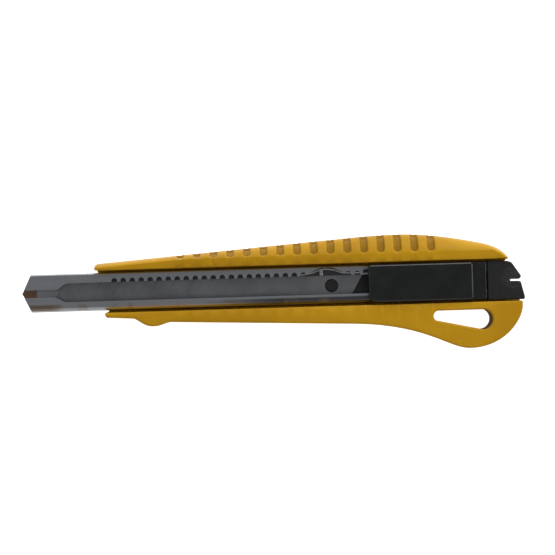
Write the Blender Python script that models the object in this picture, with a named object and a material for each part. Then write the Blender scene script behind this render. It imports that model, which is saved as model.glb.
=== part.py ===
"""Snap-off utility knife: a 9 mm segmented blade in a steel channel, held by a moulded grip.

Units are millimetres until a mesh is made, and metres in the scene.
Frame: +X runs from the nose to the tail, +Y towards the ribbed spine of the grip, +Z out of
the thumb side. The origin is on the grip's flat back, on the blade channel's centreline,
halfway along the knife. A "station" is a distance back from the nose tip.
"""

from math import cos, pi, radians, sin, sqrt, tan

import bmesh
import bpy
from mathutils import Matrix, Vector
from mathutils.geometry import interpolate_bezier

MM = 0.001

# Overall
OVERALL_LENGTH = 134.2
RUNNING_GAP = 0.15          # between pieces that slide in or rest on each other
SEAT_GAP = 0.3              # between pieces that only lie side by side
THROUGH = 1.0               # how far a cutter runs past what it cuts
WELD = 0.002                # points closer than this are one

# Snap-off blade
BLADE_HEIGHT = 9.0
BLADE_LENGTH = 80.0
BLADE_THICKNESS = 0.4
BLADE_RAKE = 30.0           # degrees that its ends and score lines lean back from square
BLADE_TO_THUMB = 2.8
SEGMENT_PITCH = 5.0
SEGMENT_COUNT = 13
SCORE_WIDTH = 0.2
SCORE_DEPTH = 0.12
HONED_HEIGHT = 1.3
BLADE_HOLE_RADIUS = 1.75
BLADE_HOLE_FROM_END = 6.9
BLADE_HOLE_DROP = 0.2

# Blade channel, a folded steel strip with a slot along its open side
CHANNEL_WALL = 0.45
CHANNEL_DEPTH = 3.6
CHANNEL_CORNER = 0.6
CHANNEL_ROLL = 1.2          # outer radius of the lower lip, which is rolled over
CHANNEL_TO_END = 6.4
NOSE_CUT_TOP = 2.9
NOSE_CUT_BOTTOM = 2.95
LIP_SETBACK = 0.5           # of the lips' point behind the floor's, at the nose
SLOT_HEIGHT = 5.0
NECK_HEIGHT = 1.8
NECK_END = 9.5
NECK_BLEND = 3.0
NOTCH_FIRST = 25.1
NOTCH_PITCH = 2.4
NOTCH_WIDTH = 1.5
NOTCH_DEPTH = 1.05

# Grip
GRIP_THICKNESS = 9.0
GRIP_BACK_WALL = 2.6
GRIP_ROUND = 0.6
UPPER_ARM_FRONT = 19.8
LOWER_ARM_FRONT = 22.6
BACK_WALL_BEHIND = 0.6      # from each arm's front end to the back wall's front edge
BACK_WALL_TO_END = 4.4
TROUGH_STEP = 0.45          # the channel is held in the narrow foot of the trough
TROUGH_FOOT = 1.0
TROUGH_EDGE = 0.25
UPPER_ARM_NOSE = 1.85       # depth of the upper arm at its front end
SPINE_CREST = 7.3           # depth of the upper arm at its deepest
SPINE_CREST_TO_END = 32.9
SHOULDER = 2.45             # from the arm's inner edge to where its flat face turns round
SHOULDER_MIN = 1.2
CREASE = 12.0               # degrees by which the spine breaks away from the flat face
GUARD_BUMP = 3.95           # depth of the lower arm at the finger stop
GUARD_STATION = 35.4
TAIL_DEPTH = 12.2
LEAD_IN_DEPTH = 3.4
LEAD_IN_RISE = 0.75
RIB_FIRST = 42.8
RIB_PITCH = 4.45
RIB_LAST_TO_END = 24.5
RIB_RADIUS = 1.05
RIB_BITE = 0.35
RIB_LIFT = 0.12             # of the grooves' lower ends above the shoulder
RIB_WEB = 1.5               # width of the plain web left along the middle of the spine
HANG_SMALL_RADIUS = 1.4
HANG_LARGE_RADIUS = 2.7
HANG_SMALL_TO_END = 23.1
HANG_LARGE_TO_END = 11.5
HANG_SMALL_DROP = 3.4       # from the arm's inner edge
HANG_LARGE_DROP = 4.65
HANG_FLARE = 0.4

# Thumb slider, blade holder and lock spring
THUMB_RAISED = 27.7
THUMB_SHELF = 3.65
THUMB_ARM_GAP = 0.65
THUMB_PROUD = 0.8           # above the grip's face
THUMB_SHELF_SUNK = 0.7      # below the grip's face
THUMB_TOE = 2.0
THUMB_TOE_RISE = 1.2
THUMB_CORNER = 0.8
THUMB_ROUND = 0.7
TAB_LENGTH = 1.3            # the slider's small tab that lies on the toothed lip
TAB_LOW = 3.0
TAB_HIGH = 3.9
TAB_THICKNESS = 0.6
SOCKET_DEPTH = 1.1
HOLDER_AHEAD = 6.2          # how far the plate runs in front of the blade's hole
HOLDER_SHORT = 2.6          # how far the plate stops before the slider's rear
HOLDER_PLATE = 0.9
BOSS_PROUD = 0.35
PUSHER_RISE = 0.9
PUSHER_INSET = 0.5          # of its lower side, clear of the rolled lip
STEM_INSET = 1.7
STEM_WIDTH = 4.4
SPRING_GAUGE = 0.3
SPRING_ARM_OUT = 0.6        # from the slot's edge
SPRING_ROOT_Y = 1.0
SPRING_ROOT_LENGTH = 4.5
SPRING_TAIL = 1.6
SPRING_ARM_HEIGHT = 0.75
SPRING_TOOTH_SUNK = 0.1     # below the channel's face
SPRING_TOOTH_LENGTH = 0.9
SPRING_TOOTH_DEPTH = 0.75
SPRING_BOW_LENGTH = 10.4
SPRING_BOW_RISE = 1.15
SPRING_BOW_AHEAD = 12.8     # of the holder's stem
SPRING_LIFT = 0.2           # clearance between the spring and the blade's face
WINDOW_CLEAR = 0.3

# Rear cap, which is also the tool that snaps the segments off
CAP_LENGTH = 9.85
CAP_SUNK = 0.9              # below the grip's face
CAP_TONGUE = 4.9
CAP_ARM_GAP = 0.35
CAP_CORNER = 0.5
SNAP_SLOT_DEPTH = 3.9
SNAP_SLOT_WIDTH = 0.5
SNAP_SLOT_Y = -0.13

# Heights across the knife
CHANNEL_HEIGHT = BLADE_HEIGHT + 2 * (CHANNEL_WALL + 0.1)
CHANNEL_INNER_HALF = CHANNEL_HEIGHT / 2 - CHANNEL_WALL
TROUGH_HALF = CHANNEL_HEIGHT / 2 + RUNNING_GAP
ARM_EDGE = TROUGH_HALF + TROUGH_STEP       # the arms' inner edges where they reach the face
SPRING_ARM_Y = SLOT_HEIGHT / 2 + SPRING_ARM_OUT

# Levels through the thickness, from the back of the grip
CHANNEL_BACK = GRIP_BACK_WALL + SEAT_GAP
CHANNEL_FLOOR = CHANNEL_BACK + CHANNEL_WALL
CHANNEL_FACE = CHANNEL_BACK + CHANNEL_DEPTH
LIP_UNDERSIDE = CHANNEL_FACE - CHANNEL_WALL
PLATE_BACK = CHANNEL_FLOOR + RUNNING_GAP
PLATE_FACE = PLATE_BACK + HOLDER_PLATE
BLADE_BACK = PLATE_FACE + RUNNING_GAP
BLADE_FACE = BLADE_BACK + BLADE_THICKNESS
SPRING_BACK = BLADE_FACE + SPRING_LIFT
SPRING_TOOTH_TOP = CHANNEL_FACE - SPRING_TOOTH_SUNK
THUMB_BACK = CHANNEL_FACE + SEAT_GAP
THUMB_TOP = GRIP_THICKNESS + THUMB_PROUD
THUMB_SHELF_TOP = GRIP_THICKNESS - THUMB_SHELF_SUNK
CAP_TOP = GRIP_THICKNESS - CAP_SUNK

# Stations along the knife
CHANNEL_LENGTH = OVERALL_LENGTH - CHANNEL_TO_END
CAP_FRONT = OVERALL_LENGTH - CAP_LENGTH
THUMB_REAR = CAP_FRONT - SEAT_GAP
THUMB_SPLIT = THUMB_REAR - THUMB_SHELF
THUMB_FRONT = THUMB_SPLIT - THUMB_RAISED
STEM_FRONT = THUMB_FRONT + STEM_INSET
STEM_REAR = THUMB_SPLIT - STEM_INSET + 0.7
BLADE_REAR = THUMB_FRONT - BLADE_TO_THUMB
BLADE_FRONT = BLADE_REAR - BLADE_LENGTH
BLADE_HOLE = (BLADE_REAR - BLADE_HOLE_FROM_END, -BLADE_HOLE_DROP)
BLADE_LEAN = tan(radians(BLADE_RAKE))
HOLDER_FRONT = BLADE_HOLE[0] - HOLDER_AHEAD
HOLDER_REAR = THUMB_REAR - HOLDER_SHORT
SPRING_BOW_CENTRE = STEM_FRONT - SPRING_BOW_AHEAD
SPRING_TOOTH_NOTCH = int((SPRING_BOW_CENTRE - NOTCH_FIRST) / NOTCH_PITCH)
NOTCH_COUNT = int((THUMB_FRONT - NOTCH_FIRST) / NOTCH_PITCH)
RIB_COUNT = int((OVERALL_LENGTH - RIB_LAST_TO_END - RIB_FIRST) / RIB_PITCH) + 1


def at(station, y, z=0.0):
    """A point in metres from a station, a y and a z in millimetres."""
    return Vector((station - OVERALL_LENGTH / 2, y, z)) * MM


# ---------------------------------------------------------------- outlines

def arc(centre, radius, start, end, steps=8):
    """Points round a circle from one angle to another, in degrees."""
    angles = [radians(start + (end - start) * i / steps) for i in range(steps + 1)]
    return [(centre[0] + radius * cos(a), centre[1] + radius * sin(a)) for a in angles]


def bezier(start, leave, arrive, end, steps=10):
    """Points along a cubic curve, without its first one."""
    knots = [Vector((p[0], p[1], 0)) for p in (start, leave, arrive, end)]
    return [(p.x, p.y) for p in interpolate_bezier(*knots, steps + 1)[1:]]


def two_circle_hull(small, large, grow=0.0, steps=10):
    """The outline round two circles, anticlockwise; the first lies in front of the second."""
    (xa, ya, ra), (xb, yb, rb) = small, large
    length = sqrt((xb - xa) ** 2 + (yb - ya) ** 2)
    heading = 180 / pi * Vector((1, 0)).angle_signed(Vector((xb - xa, ya - yb)))
    spread = 180 / pi * Vector((0, 1)).angle(Vector((rb - ra, sqrt(length**2 - (rb - ra) ** 2))))
    back = arc((xb, yb), rb + grow, heading - 90 - spread, heading + 90 + spread, steps)
    front = arc((xa, ya), ra + grow, heading + 90 + spread, heading + 270 - spread, steps)
    return back + front


def up(depth):
    """A y that lies a depth above the upper arm's inner edge."""
    return ARM_EDGE + depth


def down(depth):
    """A y that lies a depth below the lower arm's inner edge."""
    return -ARM_EDGE - depth


def between(start, end, share):
    """A station part of the way from one station to another."""
    return start + (end - start) * share


def spine_line():
    """The top edge of the grip from the front of the upper arm to the tail, rising in station."""
    nose, tip = UPPER_ARM_FRONT, UPPER_ARM_NOSE
    crest, end = OVERALL_LENGTH - SPINE_CREST_TO_END, OVERALL_LENGTH
    knee = (crest - 16.0, up(SPINE_CREST - 0.75))
    points = [(nose, up(tip - 0.95))]
    points += bezier(points[-1], (nose + 0.1, up(tip - 0.35)), (nose + 0.4, up(tip - 0.1)),
                     (nose + 1.0, up(tip)), 4)
    points += bezier(points[-1], (between(nose, knee[0], 0.34), up(between(tip, SPINE_CREST, 0.28))),
                     (between(nose, knee[0], 0.68), up(between(tip, SPINE_CREST, 0.59))), knee, 8)
    points += bezier(knee, (crest - 9.5, up(SPINE_CREST - 0.25)), (crest - 5.5, up(SPINE_CREST)),
                     (crest, up(SPINE_CREST)), 5)
    points += bezier(points[-1], (crest + 7.5, up(SPINE_CREST)), (end - 17.4, up(5.85)),
                     (end - 10.9, up(4.4)), 7)
    points += bezier(points[-1], (end - 7.7, up(3.7)), (end - 4.8, up(2.1)), (end - 3.8, up(0.05)), 7)
    return points


def grip_underline():
    """The bottom edge of the grip from the lower arm's front end to the top of the round tail."""
    front, bump, end = LOWER_ARM_FRONT, GUARD_STATION, OVERALL_LENGTH
    low = down(GUARD_BUMP)
    points = arc((front + 0.9, down(0.45)), 0.9, 180, 262, 4) + [(bump - 5.2, down(1.75))]
    points += bezier(points[-1], (bump - 3.4, down(2.5)), (bump - 2.6, low), (bump, low), 7)
    points += bezier((bump, low), (bump + 2.2, low), (bump + 3.0, low + 0.95), (bump + 4.7, low + 1.0), 7)
    points += [(end - 47.4, down(4.8))]
    points += bezier(points[-1], (end - 26.4, down(5.25)), (end - 20.9, down(TAIL_DEPTH)),
                     (end - 14.9, down(TAIL_DEPTH)), 14)
    points += bezier(points[-1], (end - 5.5, down(TAIL_DEPTH)), (end - 0.7, down(4.7)),
                     (end - 0.7, down(1.2)), 14)
    return points + [(end - 0.9, 0.35 - ARM_EDGE)]


def hang_hole(grow):
    """The hang hole's outline, a tapered slot."""
    small = (OVERALL_LENGTH - HANG_SMALL_TO_END, down(HANG_SMALL_DROP), HANG_SMALL_RADIUS)
    large = (OVERALL_LENGTH - HANG_LARGE_TO_END, down(HANG_LARGE_DROP), HANG_LARGE_RADIUS)
    return two_circle_hull(small, large, grow)


def spine_y(station):
    """The spine's height at a station."""
    line = spine_line()
    for (xa, ya), (xb, yb) in zip(line, line[1:]):
        if xa <= station <= xb:
            return ya + (yb - ya) * (station - xa) / (xb - xa)
    return line[0][1] if station < line[0][0] else line[-1][1]


# ---------------------------------------------------------------- solids

def to_object(name, bm, material=None):
    """Turns a bmesh into an object with outward faces, flat or smooth by its angles."""
    bmesh.ops.recalc_face_normals(bm, faces=bm.faces)
    mesh = bpy.data.meshes.new(name)
    bm.to_mesh(mesh)
    bm.free()
    mesh.shade_smooth()
    mesh.set_sharp_from_angle(angle=radians(35))
    obj = bpy.data.objects.new(name, mesh)
    bpy.context.scene.collection.objects.link(obj)
    if material:
        mesh.materials.append(material)
    return obj


def face_from(bm, points):
    return bm.faces.new([bm.verts.new(p) for p in points])


def prism(outline, low, high):
    """A bmesh of a (station, y) outline between two z levels."""
    bm = bmesh.new()
    face = face_from(bm, [at(x, y, low) for x, y in outline])
    grown = bmesh.ops.extrude_face_region(bm, geom=[face])["geom"]
    tops = [v for v in grown if isinstance(v, bmesh.types.BMVert)]
    bmesh.ops.translate(bm, verts=tops, vec=(0, 0, (high - low) * MM))
    return bm


def bar(section, front, rear):
    """A bmesh of a (y, z) section between two stations."""
    bm = bmesh.new()
    face = face_from(bm, [at(front, y, z) for y, z in section])
    grown = bmesh.ops.extrude_face_region(bm, geom=[face])["geom"]
    ends = [v for v in grown if isinstance(v, bmesh.types.BMVert)]
    bmesh.ops.translate(bm, verts=ends, vec=((rear - front) * MM, 0, 0))
    return bm


def loft(rings):
    """A closed bmesh through rings of points that all have the same count."""
    bm = bmesh.new()
    made = [[bm.verts.new(p) for p in ring] for ring in rings]
    count = len(rings[0])
    for a, b in zip(made, made[1:]):
        for i in range(count):
            j = (i + 1) % count
            bm.faces.new((a[i], a[j], b[j], b[i]))
    bm.faces.new(made[0][::-1])
    bm.faces.new(made[-1])
    return bm


def box(front, rear, y_low, y_high, low, high):
    corners = [(front, y_low), (rear, y_low), (rear, y_high), (front, y_high)]
    return prism(corners, low, high)


def rounded_section(half_height, low, high, radius, roll=None, steps=4):
    """A (y, z) rectangle with round corners; roll is the radius of the one at -y, +z."""
    roll = radius if roll is None else roll
    corners = [
        (half_height - radius, low + radius, radius, -90),
        (half_height - radius, high - radius, radius, 0),
        (roll - half_height, high - roll, roll, 90),
        (radius - half_height, low + radius, radius, 180),
    ]
    return [p for y, z, r, start in corners for p in arc((y, z), r, start, start + 90, steps)]


def round_edges(bm, radius, chosen, segments=3):
    """Rounds the edges for which chosen(edge) is true."""
    edges = [e for e in bm.edges if chosen(e)]
    bmesh.ops.bevel(
        bm, geom=edges, offset=radius * MM, offset_type="OFFSET", affect="EDGES",
        segments=segments, profile=0.5, material=-1,
    )


def flat_at(edge, z):
    return all(abs(v.co.z - z * MM) < 1e-7 for v in edge.verts)


def combine(obj, bm, operation):
    """Applies a boolean between an object and a bmesh, then removes the tool."""
    tool = to_object(obj.name + "_tool", bm)
    tool.hide_render = True
    tool.display_type = "WIRE"
    step = obj.modifiers.new("shape", "BOOLEAN")
    step.operation = operation
    step.solver = "EXACT"
    step.object = tool
    bpy.context.view_layer.update()
    shaped = bpy.data.meshes.new_from_object(obj.evaluated_get(bpy.context.evaluated_depsgraph_get()))
    obj.modifiers.remove(step)
    old = obj.data
    obj.data = shaped
    shaped.name = obj.name
    bpy.data.meshes.remove(old)
    bpy.data.objects.remove(tool)


def cut(obj, bm):
    combine(obj, bm, "DIFFERENCE")


def join(obj, bm):
    combine(obj, bm, "UNION")


def finish(obj):
    """Removes the specks that booleans leave, then shades the object smooth between sharp edges."""
    bm = bmesh.new()
    bm.from_mesh(obj.data)
    bmesh.ops.remove_doubles(bm, verts=bm.verts, dist=WELD * MM)
    bmesh.ops.dissolve_degenerate(bm, edges=bm.edges, dist=WELD * MM)
    bmesh.ops.delete(bm, geom=[e for e in bm.edges if e.is_wire], context="EDGES")
    bm.to_mesh(obj.data)
    bm.free()
    obj.data.shade_smooth()
    obj.data.set_sharp_from_angle(angle=radians(30))


def material(name, colour, roughness, metallic=0.0):
    made = bpy.data.materials.new(name)
    made.use_nodes = True
    shader = made.node_tree.nodes["Principled BSDF"]
    shader.inputs["Base Color"].default_value = (*colour, 1)
    shader.inputs["Roughness"].default_value = roughness
    shader.inputs["Metallic"].default_value = metallic
    return made


# ---------------------------------------------------------------- grip

def spine_section(top, steps=16):
    """Half an oval in (y, z), from the back face to the front, that meets both at a crease."""
    shoulder = min(up(SHOULDER), top - SHOULDER_MIN)
    crease, middle = radians(CREASE), GRIP_THICKNESS / 2
    points = []
    for i in range(steps + 1):
        turn = crease + (pi - 2 * crease) * i / steps
        rise = (sin(turn) - sin(crease)) / (1 - sin(crease))
        z = middle - middle * cos(turn) / cos(crease)
        points.append((shoulder + (top - shoulder) * rise, z))
    return points


def grip_envelope():
    """A long body whose upper side is the half-oval spine; it trims the flat grip blank."""
    line = spine_line()
    stations = [(line[0][0] - 3, line[0][1])] + line + [(line[-1][0] + 6, line[-1][1])]
    deep = down(2 * TAIL_DEPTH)
    rings = []
    for station, top in stations:
        section = [(deep, GRIP_THICKNESS), (deep, 0)] + spine_section(top)
        rings.append([at(station, y, z) for y, z in section])
    return loft(rings)


def rib_cutter():
    """One capsule for each finger groove on each side of the spine, cut off at the middle web."""
    bm = bmesh.new()
    for side in (1, -1):
        for i in range(RIB_COUNT):
            capsule = rib_capsule(RIB_FIRST + i * RIB_PITCH, side)
            mesh = bpy.data.meshes.new("capsule")
            capsule.to_mesh(mesh)
            capsule.free()
            bm.from_mesh(mesh)
            bpy.data.meshes.remove(mesh)
    return bm


def rib_capsule(station, side):
    """A round-ended bar that dips into the spine from its shoulder to just short of the middle."""
    middle = GRIP_THICKNESS / 2
    foot = Vector((0, up(SHOULDER) + RIB_LIFT + RIB_RADIUS, middle + side * middle))
    head = Vector((0, spine_y(station) + RIB_RADIUS, middle))
    along = (head - foot).normalized()
    outward = Vector((0, -along.z * side, along.y * side))
    start = foot + outward * (0.65 * RIB_RADIUS - RIB_BITE)
    length = (head - foot).length + 3 * RIB_RADIUS
    rings = [[Vector((RIB_RADIUS * cos(a), RIB_RADIUS * sin(a), length)) for a in turns(12)]]
    for i in range(4):
        angle = pi / 2 * i / 4
        radius, below = RIB_RADIUS * cos(angle), -RIB_RADIUS * sin(angle)
        rings.append([Vector((radius * cos(a), radius * sin(a), below)) for a in turns(12)])
    aim = Vector((0, 0, 1)).rotation_difference(along)
    capsule = loft([[at(station, 0, 0) + (start + aim @ p) * MM for p in ring] for ring in rings])
    web = Vector((0, 0, middle + side * RIB_WEB / 2)) * MM
    keep_side(capsule, web, Vector((0, 0, side)))
    return capsule


def turns(count):
    return [2 * pi * i / count for i in range(count)]


def keep_side(bm, point, normal):
    """Cuts a closed bmesh with a plane, keeps the side its normal points to, and closes it."""
    geometry = bm.verts[:] + bm.edges[:] + bm.faces[:]
    made = bmesh.ops.bisect_plane(bm, geom=geometry, plane_co=point, plane_no=normal, clear_inner=True)
    edges = [e for e in made["geom_cut"] if isinstance(e, bmesh.types.BMEdge)]
    bmesh.ops.holes_fill(bm, edges=edges)
    bmesh.ops.recalc_face_normals(bm, faces=bm.faces)


def trough_section():
    """The (y, z) section of the trough that the channel, the slider and the cap lie in."""
    face = GRIP_THICKNESS
    right = [
        (TROUGH_HALF, GRIP_BACK_WALL),
        (TROUGH_HALF, GRIP_BACK_WALL + TROUGH_FOOT),
        (ARM_EDGE, GRIP_BACK_WALL + TROUGH_FOOT + SEAT_GAP),
        (ARM_EDGE, face - TROUGH_EDGE),
        (ARM_EDGE + TROUGH_EDGE, face),
        (ARM_EDGE + TROUGH_EDGE, face + THROUGH),
    ]
    return right + [(-y, z) for y, z in reversed(right)]


def lead_in_cutter():
    """The wedge off the upper arm's inner edge, where the rear cap slides in."""
    rear = OVERALL_LENGTH
    inner, face = ARM_EDGE - 0.3, GRIP_THICKNESS
    near = [(inner, face + 0.3), (inner, face + 0.4), (inner + 0.1, face + 0.4)]
    far = [(inner, face - LEAD_IN_DEPTH), (inner, face + 0.4), (up(LEAD_IN_RISE), face + 0.4)]
    return loft([[at(THUMB_SPLIT, y, z) for y, z in near], [at(rear, y, z) for y, z in far]])


def build_grip(plastic):
    top, inner = up(2 * SPINE_CREST), ARM_EDGE - 0.25
    back_rear = OVERALL_LENGTH - BACK_WALL_TO_END
    spine_rear = spine_line()[-1][0] - 0.05
    spine_front = UPPER_ARM_FRONT + 0.02
    outline = grip_underline() + [
        (back_rear, -inner),
        (back_rear, inner),
        (spine_rear, ARM_EDGE),
        (spine_rear, top),
        (spine_front, top),
        (spine_front, up(0.5)),
        (spine_front + 0.5, ARM_EDGE),
        (UPPER_ARM_FRONT + BACK_WALL_BEHIND, inner),
        (LOWER_ARM_FRONT + BACK_WALL_BEHIND, -inner),
        (LOWER_ARM_FRONT, 0.1 - ARM_EDGE),
    ]
    blank = prism(outline, 0, GRIP_THICKNESS)

    def on_lower_rim(edge):
        below = all(v.co.y < -ARM_EDGE * MM for v in edge.verts)
        return below and (flat_at(edge, 0) or flat_at(edge, GRIP_THICKNESS))

    round_edges(blank, GRIP_ROUND, on_lower_rim)
    grip = to_object("grip_handle", blank, plastic)
    combine(grip, grip_envelope(), "INTERSECT")
    cut(grip, rib_cutter())
    cut(grip, bar(trough_section(), UPPER_ARM_FRONT - 2, OVERALL_LENGTH + 2))
    flares = [(-THROUGH, HANG_FLARE + THROUGH), (0, HANG_FLARE), (HANG_FLARE, 0)]
    flares += [(GRIP_THICKNESS - z, grow) for z, grow in reversed(flares)]
    cut(grip, loft([[at(x, y, z) for x, y in hang_hole(grow)] for z, grow in flares]))
    cut(grip, lead_in_cutter())
    finish(grip)
    return grip


# ---------------------------------------------------------------- blade channel

def slot_outline():
    """The slot in the channel's open side: a narrow neck at the nose, then wide, with notches."""
    wide, neck = SLOT_HEIGHT / 2, NECK_HEIGHT / 2
    blend_end = NECK_END + NECK_BLEND
    end = CHANNEL_LENGTH + THROUGH
    lower = [(-THROUGH, -neck), (NECK_END - 0.6, -neck)]
    lower += bezier(lower[-1], (NECK_END + 0.4, -neck), (blend_end - 1.4, -wide), (blend_end, -wide), 6)
    upper = [(-THROUGH, neck), (NECK_END, neck)]
    upper += bezier(upper[-1], (NECK_END + 1.3, neck), (blend_end - 1.6, wide), (blend_end + 0.4, wide), 6)
    for i in range(NOTCH_COUNT):
        middle = NOTCH_FIRST + i * NOTCH_PITCH
        upper += notch_points(middle, wide)
    upper += [(end, wide)]
    return lower + [(end, -wide)] + upper[::-1]


def notch_points(middle, edge):
    """A round-topped notch in the slot's upper edge."""
    radius = NOTCH_WIDTH / 2
    crown = (middle, edge + NOTCH_DEPTH - radius)
    return [(middle - radius, edge)] + arc(crown, radius, 180, 0, 6) + [(middle + radius, edge)]


def spring_window():
    """The relief in the toothed lip that the lock spring's bow stands in when it is parked."""
    half = SPRING_BOW_LENGTH / 2 + WINDOW_CLEAR
    top = SPRING_ARM_Y + SPRING_GAUGE / 2 + SPRING_BOW_RISE + WINDOW_CLEAR
    left, right = SPRING_BOW_CENTRE - half, SPRING_BOW_CENTRE + half
    edge = SLOT_HEIGHT / 2 - 0.2
    points = [(left, edge), (right, edge), (right, SPRING_ARM_Y)]
    points += bezier(points[-1], (right - 2.2, SPRING_ARM_Y + 0.2), (SPRING_BOW_CENTRE + 3, top),
                     (SPRING_BOW_CENTRE, top), 7)
    points += bezier(points[-1], (SPRING_BOW_CENTRE - 3, top), (left + 2.2, SPRING_ARM_Y + 0.2),
                     (left, SPRING_ARM_Y), 7)
    return points


def nose_wedge(sign, setback, start, low):
    """What is cut off one side of the nose, from a level up, to bring it to a point at a station."""
    half = CHANNEL_HEIGHT / 2
    reach = half + THROUGH
    far = start + (setback - start) * reach / half
    wedge = [(-THROUGH, 0), (start, 0), (far, sign * reach), (-THROUGH, sign * reach)]
    return prism(wedge, low, CHANNEL_FACE + THROUGH)


def build_channel(steel):
    half = CHANNEL_HEIGHT / 2
    outer = rounded_section(half, CHANNEL_BACK, CHANNEL_FACE, CHANNEL_CORNER, CHANNEL_ROLL, 6)
    channel = to_object("blade_channel", bar(outer, 0, CHANNEL_LENGTH), steel)
    inner = rounded_section(
        CHANNEL_INNER_HALF, CHANNEL_FLOOR, LIP_UNDERSIDE, CHANNEL_CORNER - CHANNEL_WALL,
        CHANNEL_ROLL - CHANNEL_WALL, 6)
    cut(channel, bar(inner, -THROUGH, CHANNEL_LENGTH + THROUGH))
    middle = (CHANNEL_FLOOR + LIP_UNDERSIDE) / 2
    cut(channel, prism(slot_outline(), middle, CHANNEL_FACE + THROUGH))
    cut(channel, prism(spring_window(), middle, CHANNEL_FACE + THROUGH))
    for sign, setback in ((1, NOSE_CUT_TOP), (-1, NOSE_CUT_BOTTOM)):
        cut(channel, nose_wedge(sign, setback, 0, CHANNEL_BACK - THROUGH))
        cut(channel, nose_wedge(sign, setback, LIP_SETBACK, middle))
    finish(channel)
    return channel


# ---------------------------------------------------------------- blade

def lean(station, y):
    """A station at mid height carried along the blade's slant to another height."""
    return station + y * BLADE_LEAN


def build_blade(steel):
    half = BLADE_HEIGHT / 2
    middle = (BLADE_BACK + BLADE_FACE) / 2
    land = 0.03
    hone = -half + HONED_HEIGHT
    section = [(half, BLADE_BACK), (half, BLADE_FACE), (hone, BLADE_FACE),
               (-half, middle + land), (-half, middle - land), (hone, BLADE_BACK)]
    over = BLADE_LEAN * half + THROUGH
    bm = bar(section, BLADE_FRONT - over, BLADE_REAR + over)
    slant = Vector((cos(radians(BLADE_RAKE)), -sin(radians(BLADE_RAKE)), 0))
    keep_side(bm, at(BLADE_FRONT, 0), slant)
    keep_side(bm, at(BLADE_REAR, 0), -slant)
    blade = to_object("snap_blade", bm, steel)
    hole = arc(BLADE_HOLE, BLADE_HOLE_RADIUS, 0, 360 - 15, 23)
    cut(blade, prism(hole, BLADE_BACK - THROUGH, BLADE_FACE + THROUGH))
    for i in range(1, SEGMENT_COUNT + 1):
        cut(blade, score_wedge(BLADE_FRONT + i * SEGMENT_PITCH, half + THROUGH))
    finish(blade)
    return blade


def score_wedge(station, reach):
    """A V-shaped groove across the blade's face, along its slant."""
    surface = BLADE_FACE + 0.2
    wide = SCORE_WIDTH / 2 * (SCORE_DEPTH + 0.2) / SCORE_DEPTH
    ends = []
    for y in (-reach, reach):
        x = lean(station, y)
        ends.append([at(x, y, BLADE_FACE - SCORE_DEPTH), at(x + wide, y, surface), at(x - wide, y, surface)])
    return loft(ends)


# ---------------------------------------------------------------- slider

def build_holder(plastic):
    """The carrier under the blade: plate, boss in the blade's hole, pusher and stem."""
    half = CHANNEL_INNER_HALF - RUNNING_GAP
    rear_lean = RUNNING_GAP / cos(radians(BLADE_RAKE))
    plate = box(HOLDER_FRONT, HOLDER_REAR, -half, half, PLATE_BACK, PLATE_FACE)
    holder = to_object("blade_holder", plate, plastic)
    boss = arc(BLADE_HOLE, BLADE_HOLE_RADIUS - RUNNING_GAP, 0, 360 - 15, 23)
    join(holder, prism(boss, PLATE_FACE - HOLDER_PLATE / 2, BLADE_FACE + BOSS_PROUD))
    start = BLADE_REAR + rear_lean
    low = PUSHER_INSET - half
    pusher = [(lean(start, low), low), (HOLDER_REAR, low), (HOLDER_REAR, half)]
    pusher += [(lean(start, half), half)]
    join(holder, prism(pusher, PLATE_FACE - HOLDER_PLATE / 2, PLATE_FACE + PUSHER_RISE))
    side = STEM_WIDTH / 2
    stem_top = THUMB_BACK + SOCKET_DEPTH - RUNNING_GAP
    join(holder, box(STEM_FRONT, STEM_REAR, -side, side, PLATE_FACE, stem_top))
    cut(holder, spring_socket())
    finish(holder)
    return holder


def spring_path():
    """The lock spring's centreline: root in the stem, arm, bow and tail, from rear to front."""
    half = SPRING_BOW_LENGTH / 2
    rear, front = SPRING_BOW_CENTRE + half, SPRING_BOW_CENTRE - half
    crown = (SPRING_BOW_CENTRE, SPRING_ARM_Y + SPRING_BOW_RISE)
    path = [(STEM_FRONT + SPRING_ROOT_LENGTH, SPRING_ROOT_Y), (STEM_FRONT + 1.6, SPRING_ROOT_Y)]
    path += bezier(path[-1], (STEM_FRONT + 0.2, SPRING_ROOT_Y), (STEM_FRONT + 0.6, SPRING_ARM_Y),
                   (STEM_FRONT - 1.4, SPRING_ARM_Y), 6)
    path += [(rear, SPRING_ARM_Y)]
    path += bezier(path[-1], (rear - 1.9, SPRING_ARM_Y), (crown[0] + 2.6, crown[1]), crown, 8)
    path += bezier(crown, (crown[0] - 2.6, crown[1]), (front + 1.9, SPRING_ARM_Y), (front, SPRING_ARM_Y), 8)
    path += [(front - SPRING_TAIL, SPRING_ARM_Y - 0.25)]
    return path


def ribbon(path, thickness):
    """The outline of a strip of one thickness along a path."""
    left, right = [], []
    for i, point in enumerate(path):
        before, after = path[max(i - 1, 0)], path[min(i + 1, len(path) - 1)]
        along = Vector((after[0] - before[0], after[1] - before[1])).normalized()
        side = Vector((-along.y, along.x)) * thickness / 2
        left.append((point[0] + side.x, point[1] + side.y))
        right.append((point[0] - side.x, point[1] - side.y))
    return left + right[::-1]


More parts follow.
